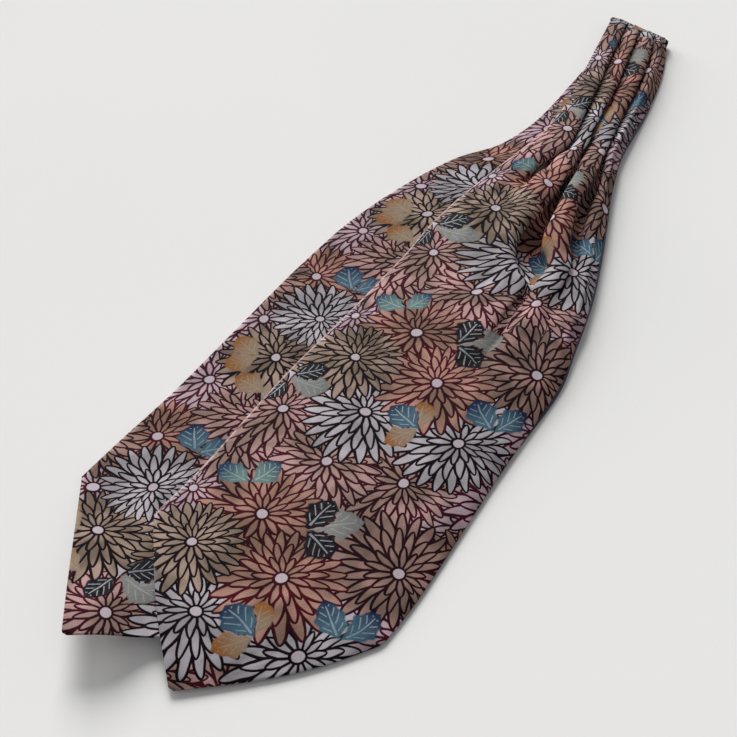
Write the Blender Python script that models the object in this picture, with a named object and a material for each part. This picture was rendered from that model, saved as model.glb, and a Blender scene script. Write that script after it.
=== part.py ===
"""A silk cravat folded in half at the middle of its pleated neckband and laid flat on a table.

The length lies along Y with the pointed tips at -Y and the turn of the neckband at +Y. X runs across,
Z is up and the table is at Z = 0. The upper half is one sheet that is followed from its left rim to its
right rim through three knife folds, so four pleats show. All sizes are in millimetres until MM.
"""

import bpy
import bmesh
import numpy as np
from mathutils import Vector

for leftover in list(bpy.data.objects):
    bpy.data.objects.remove(leftover, do_unlink=True)

MM = 0.001
WALL = 1.2
GAP = 0.3
BACK_WALL = 2.0

APEX_X = 18.0
APEX_Y = -233.5
APEX_HALF = 1.5
LEFT_CORNER_Y = -151.0
RIGHT_CORNER_Y = -157.0
LEFT_BOW = -3.0
RIGHT_BOW = 7.0
RELEASE_Y = 268.0
BAND_END_Y = 408.0
TURN_DEPTH = 8.0
SHOULDER = 5.0
RIGHT_SHOULDER = 3.0
SOFT_BROW = 4.0

BACK_APEX_X = -44.0
BACK_APEX_Y = -238.0
BACK_LEFT_CORNER_Y = -149.0
BACK_RIGHT_CORNER_Y = -182.0
BACK_LIFT = 9.0
BACK_LIFT_Y = -130.0
BACK_LIFT_REACH = 60.0
BACK_PLEAT_START_Y = 60.0
BACK_PLEAT_END_Y = 345.0
TUCK = 5.0

LAYERS_START_Y = 62.0
LAYERS_END_Y = 404.0
LAYERS_COLUMNS = 13
LAYERS_TOP = 4.6
LAYERS_SWELL = 2.0
LAYERS_THINNEST = 0.8
LAYERS_LOOK_BACK = 18.0
LAYERS_LOOK_AHEAD = 9.0


class Table:
    """Rows of named values along Y, joined by a smooth curve that never overshoots a row."""

    def __init__(self, names, rows):
        self.names = names.split()
        self.rows = np.array(sorted(rows), float)
        rise = np.diff(self.rows, axis=0) / np.diff(self.rows[:, :1], axis=0)
        self.slope = np.zeros_like(self.rows)
        self.slope[0] = rise[0]
        self.slope[-1] = rise[-1]
        product = rise[1:] * rise[:-1]
        total = np.where(product > 0, rise[1:] + rise[:-1], 1.0)
        self.slope[1:-1] = np.where(product > 0, 2 * product / total, 0.0)

    def at(self, y):
        """The named values at the station y."""
        stations = self.rows[:, 0]
        low = int(np.clip(np.searchsorted(stations, y) - 1, 0, len(stations) - 2))
        span = stations[low + 1] - stations[low]
        part = float(np.clip((y - stations[low]) / span, 0, 1))
        ease = part * part * (3 - 2 * part)
        values = (
            self.rows[low] * (1 - ease)
            + self.rows[low + 1] * ease
            + self.slope[low] * span * part * (1 - part) ** 2
            - self.slope[low + 1] * span * part * part * (1 - part)
        )
        return dict(zip(self.names, values))


# Upper half: y, side edges, places of the three folds as fractions of the width, then the heights of
# the rims, crests and dips from left to right, how far each fold laps over its dip, and its radius.
FRONT = Table(
    "y left right fold_a fold_b fold_c"
    " rim_l crest_a dip_a crest_b dip_b crest_c dip_c crest_d rim_r lap round",
    [
        (-233.5, 0, 0, .25, .55, .78, 6.0, 6.0, 6.0, 6.0, 6.0, 6.0, 6.0, 6.0, 6.0, -12, 2.0),
        (-205, 0, 0, .25, .55, .78, 9.8, 9.5, 8.8, 8.0, 7.0, 6.2, 5.2, 4.2, 3.0, -12, 2.0),
        (-154, -51.6, 98.6, .25, .55, .78, 5.8, 7.0, 7.2, 6.8, 6.2, 5.6, 4.8, 3.6, 1.7, -12, 2.0),
        (-110, -48.0, 102, .25, .55, .78, 4.4, 6.0, 7.0, 7.4, 7.2, 6.6, 5.6, 4.2, 1.7, -12, 2.0),
        (-30, -44.6, 103.0, .25, .55, .78, 4.4, 7.0, 8.5, 9.5, 9.5, 9.0, 8.0, 6.5, 2.2, -12, 2.5),
        (50, -35.8, 105.5, .25, .63, .80, 5.0, 8.5, 10.5, 12.0, 10.5, 12.0, 11.0, 9.5, 4.0, -11, 3.0),
        (105, -31.3, 98.0, .25, .65, .80, 5.4, 9.5, 12.0, 14.0, 10.0, 14.5, 12.5, 11.5, 7.0, -8, 3.5),
        (135, -30.6, 91.5, .24, .60, .785, 6.0, 10.0, 12.8, 16.0, 7.5, 17.0, 12.0, 12.0, 8.0, -9, 4.0),
        (160, -27.2, 84.0, .24, .55, .765, 6.5, 11.0, 13.0, 17.5, 5.5, 19.0, 8.5, 12.0, 8.5, -6, 4.0),
        (185, -22.3, 77.0, .24, .545, .755, 7.0, 12.5, 13.0, 19.0, 5.0, 20.0, 6.5, 12.0, 9.0, -5, 3.8),
        (210, -16.8, 69.5, .25, .56, .765, 7.5, 13.5, 9.0, 18.0, 5.5, 18.5, 6.0, 12.0, 9.0, -4, 3.4),
        (236, -10.7, 62.0, .33, .558, .78, 8.0, 13.5, 6.0, 15.5, 6.5, 15.5, 6.5, 11.5, 9.0, -2, 2.6),
        (262, -5.0, 55.5, .385, .578, .818, 8.0, 12.2, 6.6, 12.6, 6.6, 12.6, 6.6, 11.2, 9.0, 1.5, 1.6),
        (300, -4.2, 50.0, .31, .53, .80, 7.8, 11.2, 7.0, 11.2, 7.0, 11.2, 7.0, 10.8, 8.8, 3.2, 1.3),
        (365, -10.8, 44.0, .26, .50, .775, 7.6, 11.0, 7.0, 11.0, 7.0, 11.0, 7.0, 10.6, 8.6, 3.2, 1.3),
        (408, -15.6, 34.4, .28, .52, .80, 7.6, 10.8, 7.0, 10.8, 7.0, 10.8, 7.0, 10.2, 8.6, 3.0, 1.3),
        (416, -16.2, 33.3, .28, .52, .80, 8.0, 9.8, 8.8, 9.8, 8.8, 9.8, 8.8, 9.6, 8.6, -5.5, 1.3),
    ],
)

# Lower half: y, its side edges, and the height of its fan where it tucks in under the upper half.
BACK = Table(
    "y left right fan",
    [
        (-182, -104.6, 44.0, 3.6),
        (-149, -104.4, 45.6, 3.6),
        (-65, -96.4, 50.0, 3.6),
        (15, -91.5, 54.0, 3.6),
        (55, -88.8, 56.0, 3.6),
        (95, -84.1, 58.0, 3.9),
        (134, -76.0, 60.0, 4.4),
        (172, -64.5, 61.0, 5.0),
        (209, -49.2, 60.0, 5.4),
        (242, -27.0, 52.0, 5.6),
        (280, -16.6, 44.0, 5.6),
        (320, -13.0, 42.0, 5.4),
        (350, -11.0, 38.0, 5.4),
        (408, -15.4, 30.0, 5.4),
    ],
)

# Plain edge on the right: y, its outer edge at the table, and how high it rises inside.
EDGE = Table(
    "y outer rise",
    [
        (0, 104.0, 1.4),
        (46, 106.8, 2.0),
        (85, 101.4, 4.0),
        (125, 94.6, 5.6),
        (163, 84.8, 6.4),
        (202, 72.8, 6.8),
        (240, 61.0, 6.8),
        (279, 53.2, 6.8),
        (319, 51.4, 6.8),
        (345, 48.4, 6.6),
        (378, 43.2, 6.4),
        (405, 37.0, 6.2),
    ],
)
EDGE_WIDTH = 9.0
EDGE_FOOT = 0.3
EDGE_END_Y = 405.0

X_MIDDLE = (BACK.rows[:, 1].min() + EDGE.rows[:, 1].max()) / 2
Y_MIDDLE = (BACK_APEX_Y + BAND_END_Y + TURN_DEPTH) / 2


def tip_edge(y, table, side, corner_y, apex, bow=0.0):
    """The side edge at the station y: the table's above the corner, and below it a line to the apex."""
    if y >= corner_y:
        return table.at(y)[side]
    part = (y - apex[1]) / (corner_y - apex[1])
    return apex[0] + (table.at(corner_y)[side] - apex[0]) * part + bow * np.sin(np.pi * part)


def edges(y):
    """Left and right edge of the upper half."""
    left = tip_edge(y, FRONT, "left", LEFT_CORNER_Y, (APEX_X - APEX_HALF, APEX_Y), LEFT_BOW)
    right = tip_edge(y, FRONT, "right", RIGHT_CORNER_Y, (APEX_X + APEX_HALF, APEX_Y), RIGHT_BOW)
    return left, right


def back_edges(y):
    """Left and right edge of the lower half."""
    left = tip_edge(y, BACK, "left", BACK_LEFT_CORNER_Y, (BACK_APEX_X - APEX_HALF, BACK_APEX_Y))
    right = tip_edge(y, BACK, "right", BACK_RIGHT_CORNER_Y, (BACK_APEX_X + APEX_HALF, BACK_APEX_Y))
    return left, right


def section(y):
    """The knots (x, z) of the upper half's outer face at the station y, from left to right."""
    row = FRONT.at(y)
    left, right = edges(y)
    width = right - left
    scale = float(np.clip((y - APEX_Y) / (RIGHT_CORNER_Y - APEX_Y), 0.02, 1))
    knots = [(left, row["rim_l"])]
    knots.append((left + SHOULDER * scale, row["rim_l"] + 0.5 * (row["crest_a"] - row["rim_l"])))
    start = left
    for name in "abc":
        fold = left + width * row["fold_" + name]
        crest = row["crest_" + name]
        dip = row["dip_" + name]
        sharp = float(np.clip((crest - dip - 1) / 2, 0, 1))
        soft = 1 - sharp
        radius = min(row["round"], 0.42 * max(crest - dip, 0.0))
        overhang = radius * float(np.clip(0.6 + row["lap"] / 6, 0.2, 1))
        brow = fold - (SOFT_BROW * soft + radius * sharp) * scale
        knots.append((min(fold - max(2 * radius, 0.3 * (fold - start)), brow - 1.5 * scale), crest))
        knots.append((brow, (crest + 0.3 * (dip - crest)) * soft + (crest - 0.15 * radius) * sharp))
        knots.append((fold, (crest + dip) / 2 * soft + (crest - radius) * sharp))
        knots.append((
            fold + (SOFT_BROW * soft - 0.9 * overhang * sharp) * scale,
            (crest + 0.7 * (dip - crest)) * soft + (crest - 1.9 * radius) * sharp,
        ))
        start = fold - row["lap"] * scale
        knots.append((start, dip))
    knots.append((start + 0.55 * (right - start), row["crest_d"]))
    knots.append((right - RIGHT_SHOULDER * scale, row["rim_r"] + 0.45 * (row["crest_d"] - row["rim_r"])))
    knots.append((right, row["rim_r"]))
    return np.array(knots)


def along(knots, first, last, cuts):
    """A smooth curve through the knots from first to last, with this many cuts between two knots."""
    step = np.sqrt(np.maximum(np.linalg.norm(np.diff(knots, axis=0), axis=1), 1e-6))[:, None]
    rise = np.diff(knots, axis=0) / step
    inner = (rise[:-1] * step[1:] + rise[1:] * step[:-1]) / (step[1:] + step[:-1])
    slope = np.vstack([rise[:1], inner, rise[-1:]])
    points = []
    for knot in range(first, last):
        for cut in range(cuts[knot]):
            part = cut / cuts[knot]
            ease = part * part * (3 - 2 * part)
            points.append(
                knots[knot] * (1 - ease)
                + knots[knot + 1] * ease
                + slope[knot] * step[knot] * part * (1 - part) ** 2
                - slope[knot + 1] * step[knot] * part * part * (1 - part)
            )
    points.append(knots[last])
    return np.array(points)


# Cuts between the knots of a section: finer on the long slopes, single round each fold.
CUTS = [1, 2, 1, 1, 1, 1, 2, 1, 1, 1, 1, 2, 1, 1, 1, 1, 2, 1, 1]
KNOTS = len(CUTS)
UNDERS = (5, 10, 15)
DIPS = (6, 11, 16)


def material(name, colour, roughness):
    """A plain cloth material."""
    made = bpy.data.materials.new(name)
    made.use_nodes = True
    shader = made.node_tree.nodes["Principled BSDF"]
    shader.inputs["Base Color"].default_value = (*colour, 1.0)
    shader.inputs["Roughness"].default_value = roughness
    shader.inputs["Metallic"].default_value = 0.0
    return made


def sheet_mesh(points):
    """A working grid whose corners are points[row][column], in millimetres."""
    rows = len(points) - 1
    columns = len(points[0]) - 1
    work = bmesh.new()
    bmesh.ops.create_grid(work, x_segments=columns, y_segments=rows, size=1.0)
    for vert in work.verts:
        column = round((vert.co.x + 1) / 2 * columns)
        row = round((vert.co.y + 1) / 2 * rows)
        x, y, z = points[row][column]
        vert.co = Vector((x - X_MIDDLE, y - Y_MIDDLE, z)) * MM
    return work


def finished(name, work, surface):
    """Turns the working mesh into a smooth-shaded object."""
    mesh = bpy.data.meshes.new(name)
    work.to_mesh(mesh)
    work.free()
    mesh.materials.append(surface)
    mesh.shade_smooth()
    thing = bpy.data.objects.new(name, mesh)
    bpy.context.scene.collection.objects.link(thing)
    return thing


def wall(name, points, surface, thickness=WALL):
    """A cloth wall whose outer face runs through the points and which is thick inwards."""
    thing = finished(name, sheet_mesh(points), surface)
    solid = thing.modifiers.new("Thickness", "SOLIDIFY")
    solid.thickness = thickness * MM
    solid.offset = -1.0
    return thing


def slab(name, points, bottom, surface):
    """A solid whose upper face runs through the points and whose underside is flat."""
    work = sheet_mesh(points)
    extruded = bmesh.ops.extrude_face_region(work, geom=work.faces[:], use_keep_orig=True)
    for vert in (item for item in extruded["geom"] if isinstance(item, bmesh.types.BMVert)):
        vert.co.z = bottom * MM
    bmesh.ops.recalc_face_normals(work, faces=work.faces[:])
    return finished(name, work, surface)


def front_points(stations, first, last):
    """The upper half's outer face between two knots, a row for each station."""
    rows = []
    for y in stations:
        rows.append([(x, y, z) for x, z in along(section(y), first, last, CUTS)])
    return rows


def front_blade(surface):
    """The pointed blade, from its apex to where the pleats are released."""
    tip = np.linspace(APEX_Y, RIGHT_CORNER_Y, 7)
    blade = np.linspace(LEFT_CORNER_Y, 100, 10)
    fan = np.linspace(100, RELEASE_Y - GAP, 17)[1:]
    wall("front_blade", front_points(np.concatenate([tip, blade, fan]), 0, KNOTS), surface)


def front_pleats(surface):
    """The four knife pleats of the neckband, each from its dip to the underside of its fold."""
    stations = np.linspace(RELEASE_Y, BAND_END_Y - GAP, 13)
    starts = (0,) + DIPS
    ends = UNDERS + (KNOTS,)
    for number, (first, last) in enumerate(zip(starts, ends), 1):
        wall("front_pleat_%d" % number, front_points(stations, first, last), surface)


def neck_turn(surface):
    """The turn at the end of the neckband, from the top of the pleats round to the table."""
    top = section(BAND_END_Y + TURN_DEPTH)
    across = np.linspace(top[0, 0], top[-1, 0], 13)
    halves = np.interp(across, top[:, 0], top[:, 1]) / 2
    rows = []
    for angle in np.radians(np.linspace(0, 180, 9)):
        y = BAND_END_Y + TURN_DEPTH * np.sin(angle)
        rows.append([(x, y, half * (1 + np.cos(angle))) for x, half in zip(across, halves)])
    wall("neck_turn", rows, surface)


def underside(x, y, window):
    """The lowest the upper half's inner face comes within this window of x, at the station y."""
    curve = along(section(y), 0, KNOTS, [4] * KNOTS)
    near = np.abs(curve[:, 0] - x) <= window
    if not near.any():
        return np.inf
    return curve[near, 1].min() - WALL - GAP


def back_lift(x, y):
    """How far the lower half's tip is lifted off the table."""
    part = float(np.clip((BACK_LIFT_Y - y) / (BACK_LIFT_Y - BACK_APEX_Y), 0, 1))
    side = float(np.clip((x - BACK_APEX_X) / BACK_LIFT_REACH, 0, 1))
    return BACK_LIFT * part * part * (3 - 2 * part) * (1 - 0.35 * side)


def back_blade(surface):
    """The lower half: flat on the table but for its lifted tip."""
    tip = np.linspace(BACK_APEX_Y, BACK_RIGHT_CORNER_Y, 6)
    rest = np.linspace(BACK_LEFT_CORNER_Y, BAND_END_Y - 3 * GAP, 18)
    rows = []
    for y in np.concatenate([tip, rest]):
        left, right = back_edges(y)
        across = np.linspace(left, right, 9)
        rows.append([(x, y, BACK_WALL + back_lift(x, y)) for x in across])
    wall("back_blade", rows, surface, BACK_WALL)


def back_pleat(surface):
    """The lower half's fan where it shows, from the silhouette to under the upper half."""
    rows = []
    low = BACK_WALL + GAP + WALL
    for y in np.linspace(BACK_PLEAT_START_Y, BACK_PLEAT_END_Y, 15):
        row = BACK.at(y)
        reach = edges(y)[0] + TUCK - row["left"]
        rows.append([
            (row["left"] + reach * part, y, low + (row["fan"] - low) * np.sin(part * np.pi / 2))
            for part in np.linspace(0, 1, 7)
        ])
    wall("back_pleat", rows, surface)


def hidden_layers(surface):
    """The layers between the two halves, one rounded solid under the pleats."""
    rows = []
    for y in np.linspace(LAYERS_START_Y, LAYERS_END_Y, 20):
        left = edges(y)[0] + TUCK + 5 * GAP
        right = EDGE.at(y)["outer"] - EDGE_WIDTH - 10 * GAP
        window = (right - left) / (LAYERS_COLUMNS - 1) + 1.0
        row = []
        for part in np.linspace(0, 1, LAYERS_COLUMNS):
            x = left + (right - left) * part
            lid = min(underside(x, near, window) for near in (y - LAYERS_LOOK_BACK, y, y + LAYERS_LOOK_AHEAD))
            top = min(lid, LAYERS_TOP + LAYERS_SWELL * np.sin(np.pi * part) ** 0.5)
            row.append((x, y, max(BACK_WALL + GAP + LAYERS_THINNEST, top)))
        rows.append(row)
    slab("hidden_layers", rows, BACK_WALL + GAP, surface)


def lining_edge(surface):
    """The plain edge on the right, a rolled strip from the table up under the upper half."""
    rows = []
    for y in np.linspace(0, EDGE_END_Y, 20):
        row = EDGE.at(y)
        rows.append([
            (
                row["outer"] - EDGE_WIDTH * (1 - np.cos(angle)),
                y,
                EDGE_FOOT + (row["rise"] - EDGE_FOOT) * np.sin(angle),
            )
            for angle in np.radians(np.linspace(90, 0, 6))
        ])
    wall("lining_edge", rows, surface)


silk = material("printed_silk", (0.36, 0.22, 0.19), 0.62)
lining = material("lining_silk", (0.12, 0.12, 0.15), 0.7)
inside = material("hidden_silk", (0.20, 0.14, 0.13), 0.7)

front_blade(silk)
front_pleats(silk)
neck_turn(silk)
back_blade(silk)
back_pleat(silk)
hidden_layers(inside)
lining_edge(lining)
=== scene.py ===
"""A silk cravat folded in half and laid on a pale table: its cloth, its print, its seam and the light.

Cloth is worked out in millimetres in the frame of its cutting table, and moved to the model's frame by
X_MIDDLE and Y_MIDDLE. The length lies along Y, the tips at -Y and the turn of the neckband at +Y. The
table is Z = 0.
"""

import math

import bmesh
import bpy
import numpy as np
from mathutils import Euler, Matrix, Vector


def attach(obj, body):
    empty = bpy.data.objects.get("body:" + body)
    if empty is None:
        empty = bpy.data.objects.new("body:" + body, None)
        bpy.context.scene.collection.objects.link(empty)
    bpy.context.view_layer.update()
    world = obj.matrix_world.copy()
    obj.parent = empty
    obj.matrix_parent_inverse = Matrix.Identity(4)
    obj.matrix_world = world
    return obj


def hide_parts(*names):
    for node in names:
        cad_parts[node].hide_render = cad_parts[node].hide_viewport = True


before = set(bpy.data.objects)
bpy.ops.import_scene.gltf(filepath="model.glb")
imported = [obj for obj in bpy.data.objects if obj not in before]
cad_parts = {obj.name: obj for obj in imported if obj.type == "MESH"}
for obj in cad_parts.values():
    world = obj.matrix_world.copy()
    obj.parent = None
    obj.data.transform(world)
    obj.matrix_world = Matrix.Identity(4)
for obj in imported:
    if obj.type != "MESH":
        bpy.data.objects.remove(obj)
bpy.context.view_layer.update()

MM = 0.001
TAU = 2 * math.pi
X_MIDDLE = 1.1
Y_MIDDLE = 89.0

# Camera and lights

CAMERA_PLACE = (0.2588, -0.5392, 0.6063)
CAMERA_TURN = (41.08, 0.0, 30.0)
CAMERA_LENS = 63.35
CAMERA_SENSOR = 36.0

camera = bpy.data.objects.new("camera", bpy.data.cameras.new("camera"))
camera.location = CAMERA_PLACE
camera.rotation_euler = Euler([math.radians(turn) for turn in CAMERA_TURN])
camera.data.lens = CAMERA_LENS
camera.data.sensor_width = CAMERA_SENSOR
camera.data.dof.use_dof = False
bpy.context.scene.collection.objects.link(camera)
bpy.context.scene.camera = camera
bpy.context.scene.view_settings.view_transform = "Standard"

# The two soft lights: name, the way it comes from across, lengthwise and up, strength, angular size
LIGHTS = [
    ("window", (-0.643, 0.766, 0.55), 3.65, 29.0),
    ("low_fill", (-0.9, 0.2, 0.25), 1.45, 30.0),
]
ROOM_COLOUR = (0.99, 0.99, 1.0, 1.0)
ROOM_LIGHT = 0.29

for name, way, power, size in LIGHTS:
    sun = bpy.data.lights.new(name, "SUN")
    sun.energy = power
    sun.angle = math.radians(size)
    lamp = bpy.data.objects.new(name, sun)
    lamp.rotation_euler = Vector(way).to_track_quat("Z", "Y").to_euler()
    bpy.context.scene.collection.objects.link(lamp)

world = bpy.data.worlds.new("room")
bpy.context.scene.world = world
world.use_nodes = True
background = world.node_tree.nodes["Background"]
background.inputs["Color"].default_value = ROOM_COLOUR
background.inputs["Strength"].default_value = ROOM_LIGHT

# Shapes, in millimetres. Upper half: its point, the corners where the point starts, how far the point's
# edges bow, the end of its band, how deep the band's turn is, how wide its rims and its soft steps are
# rounded, the width it is cut to, how its edge would run on past a corner, the thickness of the thin
# pieces, and the gap before the turn.

APEX_X = 18.0
APEX_Y = -232.0
APEX_HALF = 1.5
LEFT_CORNER_Y = -151.0
RIGHT_CORNER_Y = -157.0
LEFT_BOW = -3.0
RIGHT_BOW = 7.0
BAND_END_Y = 408.0
TURN_DEPTH = 8.0
SHOULDER = 5.0
RIGHT_SHOULDER = 3.0
SOFT_BROW = 4.0
CUT_WIDTH = 150.0
EDGE_SLOPE = 0.08
SHEET_WALL = 1.0
GAP = 0.3

# Lower half: its point, its corners, how its tip is lifted, its top, its thickness, the gap before the
# turn, and how far its fan tucks in

BACK_APEX_X = -44.0
BACK_APEX_Y = -238.0
BACK_LEFT_CORNER_Y = -149.0
BACK_RIGHT_CORNER_Y = -182.0
BACK_LIFT = 9.0
BACK_LIFT_Y = -130.0
BACK_LIFT_REACH = 60.0
BACK_LIFT_FALL = 0.35
BACK_TOP = 2.0
BACK_WALL = 1.6
BACK_GAP = 0.9
TUCK = 5.0


class Table:
    """Rows of named values along Y, joined by a smooth curve that never overshoots a row."""

    def __init__(self, names, rows):
        self.names = names.split()
        self.rows = np.array(sorted(rows), float)
        rise = np.diff(self.rows, axis=0) / np.diff(self.rows[:, :1], axis=0)
        self.slope = np.zeros_like(self.rows)
        self.slope[0] = rise[0]
        self.slope[-1] = rise[-1]
        product = rise[1:] * rise[:-1]
        total = np.where(product > 0, rise[1:] + rise[:-1], 1.0)
        self.slope[1:-1] = np.where(product > 0, 2 * product / total, 0.0)

    def at(self, y):
        """The named values at the station y."""
        stations = self.rows[:, 0]
        low = int(np.clip(np.searchsorted(stations, y) - 1, 0, len(stations) - 2))
        span = stations[low + 1] - stations[low]
        part = float(np.clip((y - stations[low]) / span, 0, 1))
        ease = part * part * (3 - 2 * part)
        values = (
            self.rows[low] * (1 - ease)
            + self.rows[low + 1] * ease
            + self.slope[low] * span * part * (1 - part) ** 2
            - self.slope[low + 1] * span * part * part * (1 - part)
        )
        return dict(zip(self.names, values))


# Upper half: y, side edges, places of the three folds as fractions of the width, then the heights of the
# rims, crests and dips from left to right, how far each fold laps over its dip, and the folds' radius.
FRONT_NAMES = (
    "y left right fold_a fold_b fold_c"
    " rim_l crest_a dip_a crest_b dip_b crest_c dip_c crest_d rim_r lap_a lap_b lap_c round"
)
FRONT_ROWS = [
    (-232, 0, 0, .25, .55, .78, 3.6, 3.6, 3.5, 3.4, 3.3, 3.2, 3.1, 3, 3, -12, -12, -12, 2),
    (-205, 0, 0, .25, .55, .78, 9.8, 9.3, 8.4, 7.2, 6, 5, 4, 3, 1.9, -12, -12, -12, 2),
    (-154, -51.6, 98.6, .25, .55, .78, 5.8, 7, 7.2, 6.8, 6.2, 5.6, 4.8, 3.6, 1.7, -12, -12, -12, 2),
    (-110, -48, 102, .25, .55, .78, 4.4, 6, 7, 7.4, 7.2, 6.6, 5.6, 4.2, 1.7, -12, -12, -12, 2),
    (-30, -44.6, 103, .25, .55, .78, 4.4, 7, 8.5, 9.5, 9.5, 9, 8, 6.5, 2.2, -12, -12, -12, 2.5),
    (50, -35.8, 105.5, .25, .61, .8, 5, 8.5, 10.5, 12, 10.2, 12, 11, 9.5, 3.6, -11, -7, -11, 3),
    (85, -32.9, 100.7, .25, .635, .82, 5.3, 9.2, 11.5, 13.4, 10.6, 13.6, 11.8, 11, 5.6, -10, -5, -10, 3.2),
    (105, -31.3, 98, .25, .66, .83, 5.4, 9.5, 12, 14, 10.4, 14.5, 12.6, 11.5, 6.4, -8, -4.5, -8, 3.5),
    (112, -31.1, 96.5, .25, .659, .832, 5.4, 9.6, 12.2, 14.4, 10, 15.2, 12.6, 11.6, 6.4, -8, -4.5, -8, 3.4),
    (118, -31, 95.2, .25, .618, .836, 5.6, 9.7, 12.4, 14.8, 8, 15.8, 12.5, 11.8, 6.6, -8, -9.5, -8, 3.4),
    (127, -30.8, 93.2, .245, .559, .841, 5.8, 9.9, 12.7, 15.5, 5, 16.6, 12, 12, 6.8, -8.5, -18, -7, 3.4),
    (138, -30.2, 90.6, .24, .523, .846, 6, 10.1, 12.8, 16.3, 4.2, 17.4, 11, 12, 7, -9, -21, -5, 3.4),
    (148, -28.8, 87.6, .24, .516, .83, 6.2, 10.5, 12.9, 17, 4, 18.2, 9, 12, 7.2, -8, -15, -5, 3.4),
    (160, -27.2, 84, .24, .528, .802, 6.5, 11, 13, 17.6, 4, 19, 7, 12, 7.4, -6, -11, -5.5, 3.4),
    (172, -24.8, 80.6, .24, .551, .785, 6.8, 11.6, 13, 18.4, 4, 19.8, 6, 12, 7.4, -6, -8.5, -6, 3.4),
    (185, -22.3, 77, .24, .571, .772, 7, 12.5, 13, 19, 4, 20, 5.4, 12, 7.2, -5, -6, -6, 3.2),
    (197, -19.7, 73.4, .261, .583, .766, 7.2, 13, 11.8, 18.8, 4, 19.6, 5, 12, 7, -4.5, -4, -6, 3),
    (210, -16.8, 69.5, .293, .589, .781, 7.5, 13.5, 8.5, 18.2, 4.2, 18.8, 5, 12, 6.8, -3.5, -3.4, -5, 2.8),
    (222, -14, 66, .3, .592, .802, 7.8, 13.6, 4.6, 17, 4.6, 17.4, 5.2, 11.6, 6.6, -5.5, -3, -4, 2.6),
    (236, -10.7, 62, .33, .583, .816, 8, 13.5, 4.4, 15.8, 5.2, 16, 5.6, 11.4, 6.4, -3, -2.4, -2.5, 2.4),
    (250, -7.6, 58.5, .38, .572, .817, 8, 12.8, 5, 14, 5.8, 14, 6, 11.3, 6.2, -1, -0.6, -0.6, 2),
    (262, -5, 55.5, .385, .578, .818, 8, 12.2, 6.6, 12.6, 6.6, 12.6, 6.6, 11.2, 5.4, 1.5, 1.5, 1.5, 1.6),
    (300, -4.2, 51.6, .31, .52, .785, 7.8, 11.3, 6.2, 11.3, 6.2, 11.3, 6.2, 10.8, 4.6, 1.6, 1.6, 1.6, 1.6),
    (335, -7.5, 49.4, .28, .51, .77, 7.7, 11.3, 6.2, 11.3, 6.2, 11.3, 6.2, 10.7, 2.6, 1.6, 1.6, 1.6, 1.6),
    (365, -10.8, 45.6, .26, .49, .76, 7.6, 11.2, 6.4, 11.2, 6.4, 11.2, 6.4, 10.6, 1.8, 1.6, 1.6, 1.6, 1.6),
    (396, -14.2, 38, .265, .5, .77, 7.6, 10.9, 6.8, 10.9, 6.8, 10.9, 6.8, 10.2, 2.4, 2.2, 2.2, 2.2, 1.4),
    (408, -15.6, 33.6, .27, .5, .77, 7.6, 10.8, 7, 10.8, 7, 10.8, 7, 10.2, 5.6, 3, 3, 3, 1.3),
    (416, -16.2, 32.2, .27, .5, .77, 8, 9.8, 8.8, 9.8, 8.8, 9.8, 8.8, 9.4, 7.4, -5.5, -5.5, -5.5, 1.3),
]
FRONT = Table(FRONT_NAMES, FRONT_ROWS)

# How steep the left flanks of the second, third and fourth crest stand, from 0 to 1
FLANKS = Table(
    "y b c d",
    [
        (-240, 0, 0, 0),
        (10, 0, 0, 0),
        (50, 0, .5, 0),
        (85, 0, .9, 0),
        (112, 0, .9, 0),
        (127, 0, .6, 0),
        (138, 0, .7, .1),
        (160, 0, 1, .4),
        (190, .2, 1, .5),
        (210, .8, 1, .5),
        (236, .9, .9, .5),
        (262, .2, .2, .2),
        (300, 0, 0, 0),
        (420, 0, 0, 0),
    ],
)

# Lower half: y, its side edges, and the height of its fan where it tucks in under the upper half.
BACK = Table(
    "y left right fan",
    [
        (-182, -104.6, 44.0, 3.6),
        (-149, -104.4, 45.6, 3.6),
        (-65, -96.4, 50.0, 3.6),
        (15, -91.5, 54.0, 3.6),
        (55, -88.8, 56.0, 3.6),
        (95, -84.1, 58.0, 3.9),
        (134, -76.0, 60.0, 4.4),
        (172, -64.5, 61.0, 5.0),
        (209, -49.2, 60.0, 5.4),
        (242, -27.0, 52.0, 5.6),
        (280, -16.6, 44.0, 5.6),
        (320, -13.0, 42.0, 5.4),
        (350, -11.0, 38.0, 5.4),
        (408, -15.4, 30.0, 5.4),
    ],
)

# Plain edge on the right: y, its outer edge at the table, and how high it rises inside.
EDGE = Table(
    "y outer rise",
    [
        (0, 104.0, 1.4),
        (46, 106.8, 2.0),
        (85, 101.4, 4.0),
        (125, 94.6, 5.6),
        (163, 84.8, 6.4),
        (202, 72.8, 6.8),
        (240, 61.0, 6.8),
        (279, 53.2, 6.8),
        (319, 51.4, 6.8),
        (345, 48.4, 6.6),
        (378, 43.2, 6.4),
        (405, 37.0, 6.2),
    ],
)


def tip_edge(y, table, side, corner_y, apex, bow=0.0):
    """The side edge at the station y: the table's above the corner, and below it a line to the apex."""
    if y >= corner_y:
        return table.at(y)[side]
    part = (y - apex[1]) / (corner_y - apex[1])
    return apex[0] + (table.at(corner_y)[side] - apex[0]) * part + bow * np.sin(np.pi * part)


def edges(y):
    """Left and right edge of the upper half."""
    left = tip_edge(y, FRONT, "left", LEFT_CORNER_Y, (APEX_X - APEX_HALF, APEX_Y), LEFT_BOW)
    right = tip_edge(y, FRONT, "right", RIGHT_CORNER_Y, (APEX_X + APEX_HALF, APEX_Y), RIGHT_BOW)
    return left, right


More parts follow.
